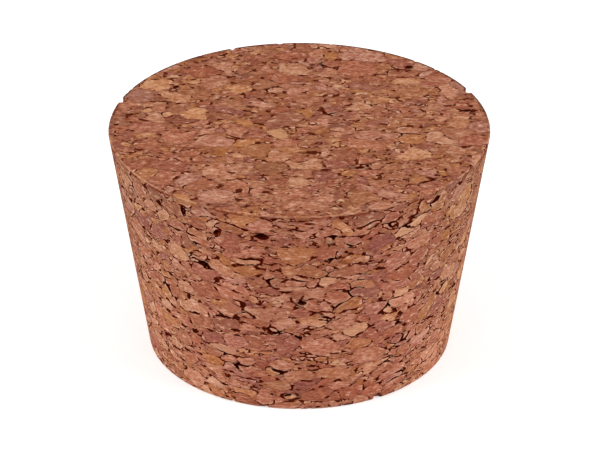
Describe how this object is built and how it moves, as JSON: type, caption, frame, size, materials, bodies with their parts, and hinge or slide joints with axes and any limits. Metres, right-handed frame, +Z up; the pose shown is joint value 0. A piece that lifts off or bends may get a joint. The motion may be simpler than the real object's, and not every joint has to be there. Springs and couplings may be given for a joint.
{
  "type": "cork stopper",
  "caption": "Tapered round stopper of agglomerated cork, wider at the top, with sharp turned rims and small open gaps between the granules; it is pressed into a round neck to close it.",
  "frame": {"origin": "middle of the narrow bottom face, on which the stopper stands", "axes": "+Z up the stopper's own axis towards the wide end; -Y is the side that the picture shows"},
  "size_m": [0.0508, 0.0508, 0.0318],
  "materials": {
    "cork": "dry matt agglomerated cork, pressed granules in tan, pinkish and dark reddish brown with dark gaps between them"
  },
  "bodies": {
    "root": {"stopper": "cork"}
  },
  "joints": []
}
